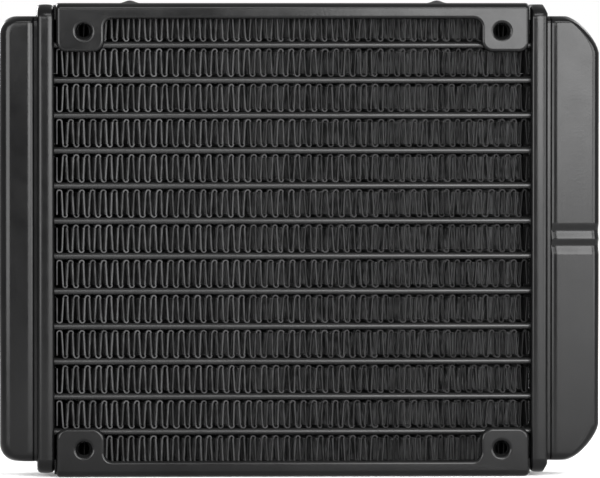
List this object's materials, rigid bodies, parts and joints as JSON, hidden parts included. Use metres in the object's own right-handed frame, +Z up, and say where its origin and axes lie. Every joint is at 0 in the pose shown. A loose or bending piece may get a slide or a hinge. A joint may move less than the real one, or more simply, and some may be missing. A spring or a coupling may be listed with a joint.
{
  "type": "liquid cooling radiator",
  "caption": "Flat aluminium radiator for a computer liquid cooler: flat tubes and folded fins between end tanks, framed by channels with fan mounting tabs, and hose barbs behind.",
  "frame": {"origin": "centre of the lower side channel's underside, midway between the fan holes", "axes": "+Z up, +X towards the wide tank, -Y out of the front face, +Y out of the back face, where the hose barbs stand"},
  "size_m": [0.1508, 0.0394, 0.1196],
  "materials": {
    "black_paint": "satin black powder coat",
    "fin_coating": "thin satin black coating on sheet",
    "bare_aluminium": "brazed mill finish"
  },
  "bodies": {
    "root": {"left_tank": "black_paint", "right_tank": "black_paint", "left_header": "black_paint", "right_header": "black_paint", "upper_side_channel": "black_paint", "lower_side_channel": "black_paint", "upper_core_plate": "black_paint", "lower_core_plate": "black_paint", "inlet_barb": "black_paint", "outlet_barb": "black_paint", "tube_01": "black_paint", "tube_02": "black_paint", "tube_03": "black_paint", "tube_04": "black_paint", "tube_05": "black_paint", "tube_06": "black_paint", "tube_07": "black_paint", "tube_08": "black_paint", "tube_09": "black_paint", "tube_10": "black_paint", "tube_11": "black_paint", "tube_12": "black_paint", "fin_strip_01": "fin_coating", "fin_strip_02": "fin_coating", "fin_strip_03": "fin_coating", "fin_strip_04": "fin_coating", "fin_strip_05": "fin_coating", "fin_strip_06": "fin_coating", "fin_strip_07": "fin_coating", "fin_strip_08": "fin_coating", "fin_strip_09": "fin_coating", "fin_strip_10": "fin_coating", "fin_strip_11": "fin_coating", "fin_strip_12": "fin_coating", "fin_strip_13": "fin_coating", "tank_baffle": "bare_aluminium"}
  },
  "joints": []
}
